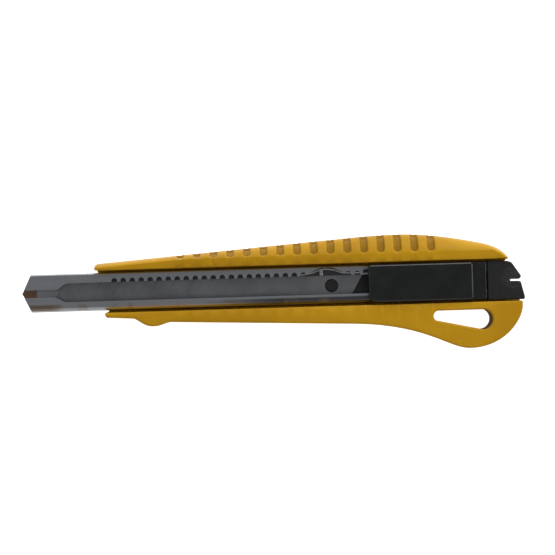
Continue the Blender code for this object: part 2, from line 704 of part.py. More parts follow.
def build_spring(steel):
    low = SPRING_BACK
    strip = prism(ribbon(spring_path(), SPRING_GAUGE), low, low + SPRING_ARM_HEIGHT)
    spring = to_object("lock_spring", strip, steel)
    middle = NOTCH_FIRST + SPRING_TOOTH_NOTCH * NOTCH_PITCH
    crown = SPRING_ARM_Y + SPRING_BOW_RISE
    side, foot = SPRING_TOOTH_LENGTH / 2, SLOT_HEIGHT / 2 + 0.1
    tip, inset = foot + SPRING_TOOTH_DEPTH, 0.2
    join(spring, box(middle - side, middle + side, foot, crown, low + inset, low + SPRING_ARM_HEIGHT - inset))
    join(spring, box(middle - side, middle + side, foot, tip, low + inset, SPRING_TOOTH_TOP))
    finish(spring)
    return spring


def spring_socket():
    """Room in the holder for the spring's root and the start of its arm."""
    root = [p for p in spring_path() if p[0] > STEM_FRONT - 8.0]
    wide = SPRING_GAUGE + 2 * RUNNING_GAP
    root[0] = (root[0][0] + RUNNING_GAP, root[0][1])
    return prism(ribbon(root, wide), SPRING_BACK - RUNNING_GAP, SPRING_BACK + SPRING_ARM_HEIGHT + RUNNING_GAP)


def build_thumb(plastic):
    half = ARM_EDGE - THUMB_ARM_GAP
    front, corner = THUMB_FRONT, THUMB_CORNER
    shelf = box(front + THUMB_TOE, THUMB_REAR, -half, half, THUMB_BACK, THUMB_SHELF_TOP)
    round_edges(shelf, THUMB_ROUND / 2, lambda e: flat_at(e, THUMB_SHELF_TOP), 2)
    thumb = to_object("thumb_slider", shelf, plastic)
    outline = [(front, THUMB_TOE_RISE - half), (front + THUMB_TOE, -half)]
    outline += arc((THUMB_SPLIT - corner, corner - half), corner, -90, 0, 4)
    outline += arc((THUMB_SPLIT - corner, half - corner), corner, 0, 90, 4)
    outline += arc((front + corner, half - corner), corner, 90, 180, 4)
    pad = prism(outline, THUMB_BACK, THUMB_TOP)
    round_edges(pad, THUMB_ROUND, lambda e: flat_at(e, THUMB_TOP), 4)
    join(thumb, pad)
    tab_back = THUMB_BACK + 0.05
    tab_top = tab_back + TAB_THICKNESS
    join(thumb, box(front - TAB_LENGTH, front + 2 * corner, TAB_LOW, TAB_HIGH, tab_back, tab_top))
    side = STEM_WIDTH / 2 + RUNNING_GAP
    socket = box(STEM_FRONT - RUNNING_GAP, STEM_REAR + RUNNING_GAP, -side, side,
                 THUMB_BACK - THROUGH, THUMB_BACK + SOCKET_DEPTH)
    cut(thumb, socket)
    finish(thumb)
    return thumb


# ---------------------------------------------------------------- rear cap

def cap_outline(front, half):
    """The cap seen from the thumb side, from a front station back to its slanted end."""
    rear = OVERALL_LENGTH
    corner = (rear - CAP_CORNER, -half + CAP_CORNER)
    points = [(front, -half)] + arc(corner, CAP_CORNER, -90, 12, 4)
    points += bezier((rear - 0.85, -1.1), (rear - 0.95, -0.6), (rear - 1.1, -0.45), (rear - 1.5, -0.45), 4)
    points += bezier((rear - 1.4, 0.35), (rear - 0.9, 0.45), (rear - 0.8, 0.75), (rear - 1.1, 1.3), 4)
    points += bezier((rear - 3.0, 4.1), (rear - 3.3, 4.75), (rear - 4.0, 4.9), (rear - 4.5, 5.0), 4)
    return points + [(front + 1.0, half), (front, half)]


def build_cap(plastic):
    body_front = CHANNEL_LENGTH + SEAT_GAP
    plug = prism(cap_outline(body_front, TROUGH_HALF - SEAT_GAP), CHANNEL_BACK, CAP_TOP - CAP_CORNER)
    cap = to_object("rear_cap", plug, plastic)
    flap = prism(cap_outline(CAP_FRONT, ARM_EDGE - CAP_ARM_GAP), THUMB_BACK, CAP_TOP)
    round_edges(flap, CAP_CORNER / 2, lambda e: flat_at(e, CAP_TOP), 2)
    join(cap, flap)
    tongue = rounded_section(
        CHANNEL_INNER_HALF - RUNNING_GAP, CHANNEL_FLOOR + RUNNING_GAP, LIP_UNDERSIDE - RUNNING_GAP,
        0.25, CHANNEL_ROLL - CHANNEL_WALL, 3)
    join(cap, bar(tongue, body_front - CAP_TONGUE, body_front + 0.5))
    low, high = SNAP_SLOT_Y - SNAP_SLOT_WIDTH / 2, SNAP_SLOT_Y + SNAP_SLOT_WIDTH / 2
    root = OVERALL_LENGTH - SNAP_SLOT_DEPTH + SNAP_SLOT_WIDTH / 2
    slot_end = arc((root, SNAP_SLOT_Y), SNAP_SLOT_WIDTH / 2, 90, 270, 6)
    slot = slot_end + [(OVERALL_LENGTH + THROUGH, low), (OVERALL_LENGTH + THROUGH, high)]
    cut(cap, prism(slot, CHANNEL_BACK - THROUGH, CAP_TOP + THROUGH))
    finish(cap)
    return cap


# ---------------------------------------------------------------- assembly

def main():
    for obj in list(bpy.data.objects):
        bpy.data.objects.remove(obj)
    yellow = material("grip_yellow", (0.76, 0.42, 0.02), 0.42)
    plated = material("channel_steel", (0.48, 0.49, 0.50), 0.28, 1.0)
    tempered = material("blade_steel", (0.33, 0.34, 0.35), 0.34, 1.0)
    carbon = material("holder_black", (0.018, 0.019, 0.02), 0.45)
    bright = material("spring_steel", (0.62, 0.62, 0.62), 0.2, 1.0)
    glossy = material("slider_black", (0.018, 0.019, 0.02), 0.32)
    matt = material("cap_black", (0.02, 0.021, 0.022), 0.45)
    carriage = bpy.data.objects.new("carriage", None)
    bpy.context.scene.collection.objects.link(carriage)
    build_grip(yellow)
    build_channel(plated)
    build_cap(matt)
    for sliding in (build_blade(tempered), build_holder(carbon), build_spring(bright), build_thumb(glossy)):
        sliding.parent = carriage


main()
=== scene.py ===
from math import atan2, cos, degrees, pi, radians, sin, sqrt, tan

import bmesh
import bpy
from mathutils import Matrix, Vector, geometry


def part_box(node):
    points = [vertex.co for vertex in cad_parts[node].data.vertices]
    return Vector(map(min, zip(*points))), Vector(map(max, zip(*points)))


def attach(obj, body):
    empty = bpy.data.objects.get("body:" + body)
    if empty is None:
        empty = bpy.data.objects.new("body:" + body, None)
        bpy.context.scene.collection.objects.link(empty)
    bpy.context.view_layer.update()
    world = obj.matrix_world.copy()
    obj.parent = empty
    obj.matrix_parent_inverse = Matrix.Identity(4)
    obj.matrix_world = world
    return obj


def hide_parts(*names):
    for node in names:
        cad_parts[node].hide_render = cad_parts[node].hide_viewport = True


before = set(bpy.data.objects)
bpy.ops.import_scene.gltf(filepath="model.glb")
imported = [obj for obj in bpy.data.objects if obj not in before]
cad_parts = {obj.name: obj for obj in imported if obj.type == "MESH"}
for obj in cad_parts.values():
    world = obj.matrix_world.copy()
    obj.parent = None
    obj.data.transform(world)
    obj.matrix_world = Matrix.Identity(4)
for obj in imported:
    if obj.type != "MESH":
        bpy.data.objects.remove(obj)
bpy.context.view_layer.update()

mm = 0.001
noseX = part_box("blade_channel")[0].x
print("frame loaded:", ", ".join(sorted(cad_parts)))


def extent(node):
    # a CAD node's box in millimetres; x is counted back from the nose
    low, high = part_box(node)
    shift = Vector((noseX, 0, 0))
    return (low - shift) / mm, (high - shift) / mm


gripLow, gripHigh = extent("grip_handle")
channelLow, channelHigh = extent("blade_channel")
bladeLow, bladeHigh = extent("snap_blade")
holderLow, holderHigh = extent("blade_holder")
springLow, springHigh = extent("lock_spring")
thumbLow, thumbHigh = extent("thumb_slider")
capLow, capHigh = extent("rear_cap")
knifeEnd = capHigh.x
trough = dict(half=channelHigh.y + 0.15, face=channelHigh.y + 0.6, rim=0.28, floor=channelLow.z - 0.3,
              foot=1.0)


def spot(station, y, z=0.0):
    return Vector((noseX + station * mm, y * mm, z * mm))


# curves in millimetres

def arc(centre, radius, start, end, steps=12):
    angles = [radians(start + (end - start) * i / steps) for i in range(steps + 1)]
    return [(centre[0] + radius * cos(a), centre[1] + radius * sin(a)) for a in angles]


def curve(start, leave, arrive, end, steps=20):
    knots = [Vector((p[0], p[1], 0)) for p in (start, leave, arrive, end)]
    return [(p.x, p.y) for p in geometry.interpolate_bezier(*knots, steps + 1)[1:]]


def between(low, high, share):
    return low + (high - low) * share


def ease(value):
    value = min(max(value, 0.0), 1.0)
    return value * value * (3 - 2 * value)


def up(depth):
    return trough["face"] + depth


def down(depth):
    return -trough["face"] - depth


# mesh tools

def prismMesh(outline, low, high):
    bm = bmesh.new()
    face = bm.faces.new([bm.verts.new(spot(x, y, low)) for x, y in outline])
    grown = bmesh.ops.extrude_face_region(bm, geom=[face])["geom"]
    tops = [v for v in grown if isinstance(v, bmesh.types.BMVert)]
    bmesh.ops.translate(bm, verts=tops, vec=(0, 0, (high - low) * mm))
    return bm


def barMesh(section, front, rear):
    bm = bmesh.new()
    face = bm.faces.new([bm.verts.new(spot(front, y, z)) for y, z in section])
    grown = bmesh.ops.extrude_face_region(bm, geom=[face])["geom"]
    ends = [v for v in grown if isinstance(v, bmesh.types.BMVert)]
    bmesh.ops.translate(bm, verts=ends, vec=((rear - front) * mm, 0, 0))
    return bm


def tubeMesh(rings):
    # a grid rolled into a tube: one row of the grid for each ring of points, both ends closed
    count = len(rings[0])
    bm = bmesh.new()
    bmesh.ops.create_grid(bm, x_segments=len(rings) - 1, y_segments=count, size=0.5)
    for v in bm.verts:
        row = round((v.co.x + 0.5) * (len(rings) - 1))
        column = round((v.co.y + 0.5) * count)
        v.co = rings[row][column % count]
    bmesh.ops.remove_doubles(bm, verts=bm.verts, dist=1e-7)
    bmesh.ops.holes_fill(bm, edges=[e for e in bm.edges if e.is_boundary])
    return bm


def softenEdges(bm, radius, chosen, segments=3):
    bmesh.ops.bevel(bm, geom=[e for e in bm.edges if chosen(e)], offset=radius * mm, offset_type="OFFSET",
                    affect="EDGES", segments=segments, profile=0.5, material=-1)


def level(edge, z):
    return all(abs(v.co.z - z * mm) < 1e-7 for v in edge.verts)


def piece(name, bm):
    bmesh.ops.recalc_face_normals(bm, faces=bm.faces)
    mesh = bpy.data.meshes.new(name)
    bm.to_mesh(mesh)
    bm.free()
    obj = bpy.data.objects.new(name, mesh)
    bpy.context.scene.collection.objects.link(obj)
    return obj


def blendWith(obj, bm, operation):
    tool = piece(obj.name + "Tool", bm)
    step = obj.modifiers.new("shape", "BOOLEAN")
    step.operation, step.solver, step.object = operation, "EXACT", tool
    bpy.context.view_layer.update()
    shaped = bpy.data.meshes.new_from_object(obj.evaluated_get(bpy.context.evaluated_depsgraph_get()))
    obj.modifiers.clear()
    obj.data = shaped
    bpy.data.objects.remove(tool)


def carve(obj, bm):
    blendWith(obj, bm, "DIFFERENCE")


def weld(obj, bm):
    blendWith(obj, bm, "UNION")


def dress(obj, body, node, finish, edge=0.0, angle=32, clamp=False):
    # smooth shading that keeps creases, a small rolled edge, and the piece's place in the frame
    if edge:
        soft = obj.modifiers.new("edge", "BEVEL")
        soft.width, soft.segments, soft.profile = edge * mm, 2, 0.5
        soft.limit_method, soft.angle_limit = "ANGLE", radians(40)
        soft.use_clamp_overlap = clamp
        soft.miter_outer = "MITER_ARC"
    obj.data.shade_smooth()
    obj.data.set_sharp_from_angle(angle=radians(angle))
    weights = obj.modifiers.new("normals", "WEIGHTED_NORMAL")
    weights.mode, weights.weight, weights.keep_sharp = "FACE_AREA", 100, True
    obj.data.materials.clear()
    obj.data.materials.append(finish)
    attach(obj, body)
    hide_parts(node)
    print("made", obj.name, len(obj.data.polygons), "faces")


# node maths

class Field:
    # a socket that adds Math nodes as it is used in an expression
    def __init__(self, nodes, socket):
        self.nodes, self.socket = nodes, socket

    def math(self, operation, *others):
        values = dict(enumerate((self, *others)))
        return self.nodes.node("ShaderNodeMath", {"operation": operation}, values)

    def __add__(self, other):
        return self.math("ADD", other)

    def __sub__(self, other):
        return self.math("SUBTRACT", other)

    def __mul__(self, other):
        return self.math("MULTIPLY", other)

    def __truediv__(self, other):
        return self.math("DIVIDE", other)

    def __rsub__(self, other):
        return self.nodes.node("ShaderNodeMath", {"operation": "SUBTRACT"}, {0: other, 1: self})

    __radd__ = __add__
    __rmul__ = __mul__

    def clamp(self):
        return self.math("MAXIMUM", 0.0).math("MINIMUM", 1.0)

    def step(self, low, high):
        settings = {"interpolation_type": "SMOOTHSTEP"}
        values = {"Value": self, "From Min": low, "From Max": high}
        return self.nodes.node("ShaderNodeMapRange", settings, values)


class Nodes:
    def __init__(self, tree):
        self.tree = tree

    def node(self, kind, settings, values, output=0):
        made = self.tree.nodes.new(kind)
        for key, value in settings.items():
            if key == "stops":
                self.setStops(made.color_ramp, value)
            else:
                setattr(made, key, value)
        for key, value in values.items():
            if isinstance(value, Field):
                self.tree.links.new(value.socket, made.inputs[key])
            else:
                made.inputs[key].default_value = value
        return Field(self, made.outputs[output])

    def setStops(self, ramp, stops):
        while len(ramp.elements) < len(stops):
            ramp.elements.new(0.5)
        for element, (position, colour) in zip(ramp.elements, stops):
            element.position, element.color = position, (*colour, 1)


class Finish(Nodes):
    # one material; keyword names are the shader's sockets, with _ for a space
    def __init__(self, name, **sockets):
        self.material = bpy.data.materials.new(name)
        self.material.use_nodes = True
        super().__init__(self.material.node_tree)
        self.shader = self.tree.nodes["Principled BSDF"]
        for socket, value in sockets.items():
            self.shader.inputs[socket.replace("_", " ")].default_value = value
        self.place = self.node("ShaderNodeTexCoord", {}, {}, "Object")

    def noise(self, scale, detail=3.0, stretch=(1, 1, 1), roughness=0.5, distortion=0.0):
        spread = self.node("ShaderNodeMapping", {}, {"Vector": self.place, "Scale": stretch})
        values = {"Vector": spread, "Scale": scale, "Detail": detail}
        values.update({"Roughness": roughness, "Distortion": distortion})
        return self.node("ShaderNodeTexNoise", {}, values)

    def axes(self):
        return [self.node("ShaderNodeSeparateXYZ", {}, {0: self.place}, i) for i in range(3)]

    def mix(self, share, first, second):
        values = {0: share, 6: first, 7: second}
        return self.node("ShaderNodeMix", {"data_type": "RGBA"}, values, 2)

    def distance(self, point):
        settings = {"operation": "DISTANCE"}
        return self.node("ShaderNodeVectorMath", settings, {0: self.place, 1: point}, "Value")

    def bump(self, height, depth, below=None):
        values = {"Height": height, "Distance": depth, "Strength": 1.0}
        if below:
            values["Normal"] = below
        return self.node("ShaderNodeBump", {}, values)

    def feed(self, **links):
        for socket, value in links.items():
            self.tree.links.new(value.socket, self.shader.inputs[socket.replace("_", " ")])
        return self.material


def paint(red, green, blue):
    return (red, green, blue, 1)


# finishes

# two colours here are painted shade: the groove colour, also used for grime smears, and the hang hole's wall
# colour
gripPaint = dict(sunny=paint(0.60, 0.318, 0.010), deep=paint(0.52, 0.262, 0.008),
                 shadeAndGrime=paint(0.30, 0.155, 0.008), hole=paint(0.045, 0.032, 0.008), rough=0.36,
                 texture=0.000006)


def gripPlastic():
    f = Finish("gripPlastic", Specular_IOR_Level=0.12)
    x, y, z = f.axes()
    cloudy = f.noise(60, 3)
    speckle = f.noise(2600, 2)
    tone = f.mix(cloudy.step(0.35, 0.68), gripPaint["deep"], gripPaint["sunny"])
    # painted shade deepens the colour in the finger grooves, mixed with a little grime
    beat = ((x - (noseX + ribs["first"] * mm)) / (ribs["pitch"] * mm) + 0.5).math("FRACT") - 0.5
    inGroove = 1 - beat.math("ABSOLUTE").step(0.19, 0.27)
    along = x.step(spot(ribs["first"] - 1.3, 0).x, spot(ribs["first"] - 1.0, 0).x)
    along = along * (1 - x.step(spot(ribs["last"] + 1.0, 0).x, spot(ribs["last"] + 1.3, 0).x))
    foot = up(ribs["grooveShadeFoot"]) * mm + beat * beat * (ribs["grooveShadeCurve"] * mm)
    onSpine = (y - foot).step(0, 0.0002)
    shadeAndGrime = inGroove * along * onSpine * (0.72 + f.noise(1500, 4).step(0.30, 0.62) * 0.18)
    tone = f.mix(shadeAndGrime, tone, gripPaint["shadeAndGrime"])
    smear = f.noise(420, 5, (0.35, 1.0, 1.0), 0.65)
    tone = f.mix(smear.step(0.66, 0.86) * 0.22, tone, gripPaint["shadeAndGrime"])
    tone = f.mix(speckle.step(0.60, 0.80) * 0.10, tone, gripPaint["deep"])
    scratches = f.noise(700, 4, (0.12, 1.0, 1.0), 0.7, 0.4)
    # painted shade darkens the hang hole's wall below its flared edge
    middle = gripHigh.z / 2
    rear = f.distance(spot(knifeEnd - hang["largeToEnd"], down(hang["largeDrop"]), middle))
    deep = (1 - rear.step(0.0050, 0.0054)) * (1 - z.step(0.0080, 0.0086)) * z.step(0.0004, 0.0010)
    across = rear.math("POWER", 2.0) - (z - middle * mm).math("POWER", 2.0)
    holeWallShade = deep * (1 - across.step(0.0000080, 0.0000088))
    tone = f.mix(holeWallShade * 0.85, tone, gripPaint["hole"])
    rough = gripPaint["rough"] + cloudy * 0.08 + smear * 0.08 + shadeAndGrime * 0.15 + holeWallShade * 0.5
    rough = rough - scratches.step(0.60, 0.70) * 0.04
    grain = f.bump(f.noise(5200, 2), gripPaint["texture"])
    relief = f.bump(scratches.step(0.66, 0.74), -0.000004, grain)
    return f.feed(Base_Color=tone, Roughness=rough, Normal=relief)


def channelSteel():
    f = Finish("channelSteel", Metallic=1.0)
    x, y, z = f.axes()
    rolled = f.noise(1, 3, (60, 2500, 2500))
    base = f.mix(rolled.step(0.3, 0.7), paint(0.50, 0.52, 0.55), paint(0.53, 0.55, 0.58))
    # painted reflections on the rolled lower lip: brown at the nose, then rosy, then dark, with brownish
    # patches
    rollReflection = (1 - y.step(-0.0034, -0.0029)) * y.step(-0.0050, -0.0045)
    patch = f.noise(1, 3, (230, 90, 90), 0.55, 0.3)
    brown = 1 - x.step(spot(8, 0).x, spot(12, 0).x)
    rosy = x.step(spot(24, 0).x, spot(28, 0).x) * (1 - x.step(spot(46, 0).x, spot(58, 0).x))
    dark = x.step(spot(46, 0).x, spot(70, 0).x)
    base = f.mix(rollReflection * brown * 0.8, base, paint(0.30, 0.19, 0.115))
    base = f.mix(rollReflection * rosy * patch.step(0.42, 0.62) * 0.6, base, paint(0.62, 0.50, 0.47))
    base = f.mix(rollReflection * dark * 0.9, base, paint(0.10, 0.10, 0.115))
    base = f.mix(rollReflection * patch.step(0.56, 0.66) * 0.45, base, paint(0.34, 0.27, 0.19))
    # painted shade darkens the channel's lowest edge, beside the gap to the grip
    edge = 1 - y.step(-0.00495, -0.0046)
    base = f.mix(edge * 0.75, base, paint(0.16, 0.16, 0.155))
    # painted reflection: the channel's floor at the nose is painted brown
    web = (1 - x.step(spot(3.6, 0).x, spot(4.4, 0).x)) * (1 - z.step(0.0042, 0.0050))
    base = f.mix(web * 0.9, base, paint(0.30, 0.155, 0.085))
    stain = f.noise(500, 4, (1, 1, 1), 0.65)
    base = f.mix(stain.step(0.66, 0.82) * 0.25, base, paint(0.28, 0.28, 0.29))
    rough = 0.30 + rolled * 0.06 + stain.step(0.5, 0.8) * 0.06
    return f.feed(Base_Color=base, Roughness=rough, Normal=f.bump(rolled, 0.000001))


def bladeSteel():
    f = Finish("bladeSteel", Metallic=1.0)
    y = f.axes()[1]
    ground = f.noise(1, 4, (5000, 300, 5000))
    cloud = f.noise(150, 4, (1, 1, 1), 0.55)
    base = f.mix(cloud.step(0.3, 0.7), paint(0.255, 0.262, 0.272), paint(0.31, 0.322, 0.338))
    # the toothed lip keeps the light off the blade's upper edge
    shaded = y.step(0.00235, 0.00262)
    base = f.mix(shaded * 0.8, base, paint(0.045, 0.045, 0.048))
    stain = f.noise(700, 5, (1, 1, 1), 0.7, 0.5)
    base = f.mix(stain.step(0.66, 0.80) * 0.28, base, paint(0.16, 0.16, 0.165))
    rough = 0.34 + ground * 0.08 + cloud * 0.05
    return f.feed(Base_Color=base, Roughness=rough, Normal=f.bump(ground, 0.000001))


def springSteel():
    f = Finish("springSteel", Metallic=1.0)
    drawn = f.noise(1, 3, (400, 400, 8000))
    base = f.mix(f.noise(1500, 3).step(0.35, 0.65), paint(0.66, 0.64, 0.60), paint(0.78, 0.74, 0.72))
    return f.feed(Base_Color=base, Roughness=0.12 + drawn * 0.16, Normal=f.bump(drawn, 0.000003))


def blackPlastic(name, gloss, wear=None):
    # moulded black with a fine grain; wear marks gather round a point
    f = Finish(name, Specular_IOR_Level=0.42)
    cloud = f.noise(240, 4, (1, 1, 1), 0.6)
    dust = f.noise(3200, 3, (1, 1, 1), 0.6)
    base = f.mix(cloud.step(0.3, 0.7), paint(0.0085, 0.0092, 0.0090), paint(0.0125, 0.0135, 0.0130))
    base = f.mix(dust.step(0.72, 0.82) * 0.18, base, paint(0.05, 0.05, 0.049))
    hairline = f.noise(900, 5, (0.10, 1.0, 1.0), 0.7, 0.3)
    rough = gloss + cloud * 0.10 + hairline.step(0.58, 0.70) * 0.10
    height = f.noise(5200, 2)
    normal = f.bump(height, 0.000008)
    if wear:
        near = 1 - f.distance(wear["centre"]).step(wear["reach"] * 0.3, wear["reach"])
        scuff = near * f.noise(2300, 6, (1, 1, 1), 0.8, 1.2).step(0.46, 0.66)
        base = f.mix(scuff * 0.65, base, paint(0.045, 0.046, 0.046))
        rough = rough + scuff * 0.25
        normal = f.bump(scuff, 0.00005, normal)
    return f.feed(Base_Color=base, Roughness=rough, Normal=normal)


# grip

# the last two entries set where the painted shade in the grooves starts up the spine
ribs = dict(first=42.8, pitch=4.45, count=16, radius=1.12, bite=0.72, web=1.5, sharp=0.42, soft=1.4,
            reach=1.12, footIn=0.12, headIn=0.35, samples=14, sampleStep=0.09, sampleScale=1.08, clear=1.6,
            grooveShadeFoot=2.45, grooveShadeCurve=9.0)
ribs["last"] = ribs["first"] + (ribs["count"] - 1) * ribs["pitch"]
spine = dict(nose=1.85, crest=7.3, crestToEnd=32.9, shoulder=2.35, shoulderMin=1.25, crease=12.0,
             fine=0.15, fineCount=16, coarseCount=14, noseRound=0.7, noseLength=1.1, tipRadius=0.75)
lowerArm = dict(front=22.6, bump=3.95, bumpAt=35.4, tail=12.2, rim=0.62, tipRadius=0.9)
hang = dict(small=1.4, large=2.7, smallToEnd=23.1, largeToEnd=11.5, smallDrop=3.4, largeDrop=4.65,
            lip=0.45)
backWall = dict(toEnd=4.4, behind=0.6)


def spineLine():
    nose, tip, top = gripLow.x, spine["nose"], spine["crest"]
    crest = knifeEnd - spine["crestToEnd"]
    knee = (crest - 16.0, up(top - 0.75))
    line = [(nose, up(tip - 0.95))]
    line += curve(line[-1], (nose + 0.1, up(tip - 0.35)), (nose + 0.4, up(tip - 0.1)),
                  (nose + 1.0, up(tip)), 10)
    line += curve(line[-1], (between(nose, knee[0], 0.34), up(between(tip, top, 0.28))),
                  (between(nose, knee[0], 0.68), up(between(tip, top, 0.59))), knee, 40)
    line += curve(knee, (crest - 9.5, up(top - 0.25)), (crest - 5.5, up(top)), (crest, up(top)), 16)
    line += curve(line[-1], (crest + 7.5, up(top)), (knifeEnd - 17.4, up(5.85)),
                  (knifeEnd - 10.9, up(4.4)), 24)
    line += curve(line[-1], (knifeEnd - 7.7, up(3.7)), (knifeEnd - 4.8, up(2.1)),
                  (knifeEnd - 3.8, up(0.05)), 20)
    return line


def heightAt(line, station):
    for (xa, ya), (xb, yb) in zip(line, line[1:]):
        if xa <= station <= xb:
            return between(ya, yb, (station - xa) / (xb - xa))
    return line[0][1] if station < line[0][0] else line[-1][1]


def underLine():
    front, bump, end = lowerArm["front"], lowerArm["bumpAt"], knifeEnd
    low, tail = down(lowerArm["bump"]), down(lowerArm["tail"])
    line = arc((front + 0.9, down(0.45)), lowerArm["tipRadius"], 180, 262, 8) + [(bump - 5.2, down(1.75))]
    line += curve(line[-1], (bump - 3.4, down(2.5)), (bump - 2.6, low), (bump, low), 14)
    line += curve((bump, low), (bump + 2.2, low), (bump + 3.0, low + 0.95), (bump + 4.7, low + 1.0), 14)
    line += [(end - 47.4, down(4.8))]
    line += curve(line[-1], (end - 26.4, down(5.25)), (end - 20.9, tail), (end - 14.9, tail), 36)
    line += curve(line[-1], (end - 5.5, tail), (end - 0.7, down(4.7)), (end - 0.7, down(1.2)), 36)
    return line + [(end - 0.9, 0.35 - trough["face"])]


def spineStations(line):
    # close together where the outline turns and across each groove
    offsets = [i * ribs["sampleStep"] for i in range(-ribs["samples"], ribs["samples"] + 1)]
    stations = {round(ribs["first"] + i * ribs["pitch"] + o * ribs["radius"] / ribs["sampleScale"], 3)
                for i in range(ribs["count"]) for o in offsets}
    stations |= {round(ribs["first"] + (i + 0.5) * ribs["pitch"], 3) for i in range(ribs["count"])}
    front, rear = ribs["first"] - ribs["clear"], ribs["last"] + ribs["clear"]
    free = [x for x, y in line if x < front or x > rear]
    stations |= {round(x, 3) for x in free}
    return [line[0][0] - 3.0] + sorted(stations) + [line[-1][0] + 6.0]


def spineSection(top):
    # half an oval that meets both flat faces at a crease
    shoulder = min(up(spine["shoulder"]), top - spine["shoulderMin"])
    lean, half = radians(spine["crease"]), gripHigh.z / 2
    dense = []
    for i in range(161):
        turn = lean + (pi - 2 * lean) * i / 160
        rise = (sin(turn) - sin(lean)) / (1 - sin(lean))
        dense.append(Vector((shoulder + (top - shoulder) * rise, half - half * cos(turn) / cos(lean))))
    lengths = [0.0]
    for a, b in zip(dense, dense[1:]):
        lengths.append(lengths[-1] + (b - a).length)
    total = lengths[-1]
    steps = [spine["fine"] * i for i in range(spine["fineCount"])]
    inner = total - 2 * steps[-1]
    middle = [steps[-1] + inner * i / spine["coarseCount"] for i in range(1, spine["coarseCount"])]
    wanted = steps + middle + [total - s for s in reversed(steps)]
    points, k = [], 0
    for s in wanted:
        while k < len(lengths) - 2 and lengths[k + 1] < s:
            k += 1
        share = (s - lengths[k]) / max(lengths[k + 1] - lengths[k], 1e-9)
        normal = (dense[k + 1] - dense[k]).normalized()
        points.append((dense[k].lerp(dense[k + 1], share), Vector((-normal.y, normal.x)), s, total))
    return points


def grooveDepth(station, s, total):
    # a finger groove: round lower end, steep sides, and a plain web along the spine's middle
    nearest = round((station - ribs["first"]) / ribs["pitch"])
    nearest = min(max(nearest, 0), ribs["count"] - 1)
    across = abs(station - ribs["first"] - nearest * ribs["pitch"]) / ribs["radius"]
    foot = ribs["radius"] + ribs["footIn"]
    head = total / 2 - ribs["web"] / 2
    s = min(s, total - s)
    past = max(foot - s, s - head + ribs["headIn"], 0.0) / ribs["radius"]
    away = sqrt(across * across + past * past)
    return ribs["bite"] * ease((ribs["reach"] - away) / ribs["sharp"] / ribs["soft"])


def spineBody(line):
    rings = []
    deep = down(2 * lowerArm["tail"])
    for station in spineStations(line):
        section = spineSection(heightAt(line, station))
        pinch = spine["noseRound"] * (1 - ease((station - line[0][0]) / spine["noseLength"]))
        ring = [spot(station, deep, gripHigh.z - pinch), spot(station, deep, pinch)]
        for point, normal, s, total in section:
            sunk = point + normal * grooveDepth(station, s, total)
            z = between(pinch, gripHigh.z - pinch, sunk.y / gripHigh.z)
            ring.append(spot(station, sunk.x, z))
        rings.append(ring)
    return tubeMesh(rings)


def troughSection():
    rim, face, z = trough["rim"], trough["face"], gripHigh.z
    step = trough["floor"] + trough["foot"]
    right = [(trough["half"], trough["floor"]), (trough["half"], step), (face, step + 0.3)]
    right += [(face + rim * (1 - cos(a)), z - rim * (1 - sin(a))) for a in (0, 0.35, 0.7, 1.05, 1.35)]
    right += [(face + rim * 1.6, z + 0.12), (face + rim * 1.6, z + 1)]
    return right + [(-y, z) for y, z in reversed(right)]


def hangOutline(grow):
    small = Vector((knifeEnd - hang["smallToEnd"], down(hang["smallDrop"])))
    large = Vector((knifeEnd - hang["largeToEnd"], down(hang["largeDrop"])))
    aim = degrees(atan2(large.y - small.y, large.x - small.x))
    gap = (large - small).length
    taper = hang["small"] - hang["large"]
    spread = degrees(atan2(sqrt(gap ** 2 - taper ** 2), taper))
    rear = arc(large, hang["large"] + grow, aim - 180 + spread, aim + 180 - spread, 28)
    front = arc(small, hang["small"] + grow, aim + 180 - spread, aim + 180 + spread, 20)
    return rear + front


def hangCutter():
    lip, z = hang["lip"], gripHigh.z
    turns = [radians(a) for a in (5, 25, 45, 65, 85)]
    flare = [(-1.0, lip * 2.4), (-0.001, lip)] + [(lip * (1 - cos(a)), lip * (1 - sin(a))) for a in turns]
    flare += [(lip, 0.0)]
    flare += [(z - low, grow) for low, grow in reversed(flare)]
    return tubeMesh([[spot(x, y, low) for x, y in hangOutline(grow)] for low, grow in flare])


def leadInCutter():
    inner, z = trough["face"] - 0.3, gripHigh.z
    near = [(inner, z + 0.3), (inner, z + 0.4), (inner + 0.1, z + 0.4)]
    far = [(inner, z - 3.4), (inner, z + 0.4), (up(0.75), z + 0.4)]
    split = thumbHigh.x - holder["shelf"]
    return tubeMesh([[spot(split, y, h) for y, h in near], [spot(knifeEnd, y, h) for y, h in far]])


def makeGrip():
    line = spineLine()
    inner, face, high = trough["face"] - 0.25, trough["face"], up(2 * spine["crest"])
    rear, front, tip = line[-1][0] - 0.05, gripLow.x + 0.02, spine["tipRadius"]
    outline = underLine() + [(knifeEnd - backWall["toEnd"], -inner), (knifeEnd - backWall["toEnd"], inner),
                             (rear, face), (rear, high), (front, high), (front, up(tip))]
    outline += arc((front + tip, up(tip)), tip, 180, 262, 6)
    outline += [(gripLow.x + backWall["behind"], inner), (lowerArm["front"] + backWall["behind"], -inner),
                (lowerArm["front"], 0.1 - face)]
    blank = prismMesh(outline, 0, gripHigh.z)

    def onLowerRim(edge):
        below = all(v.co.y < -face * mm for v in edge.verts)
        return below and (level(edge, 0) or level(edge, gripHigh.z))

    softenEdges(blank, lowerArm["rim"], onLowerRim, 5)
    grip = piece("gripHandle", blank)
    blendWith(grip, spineBody(line), "INTERSECT")
    carve(grip, barMesh(troughSection(), gripLow.x - 2, knifeEnd + 2))
    carve(grip, hangCutter())
    carve(grip, leadInCutter())
    dress(grip, "knife_body", "grip_handle", gripPlastic(), angle=34)


# blade channel

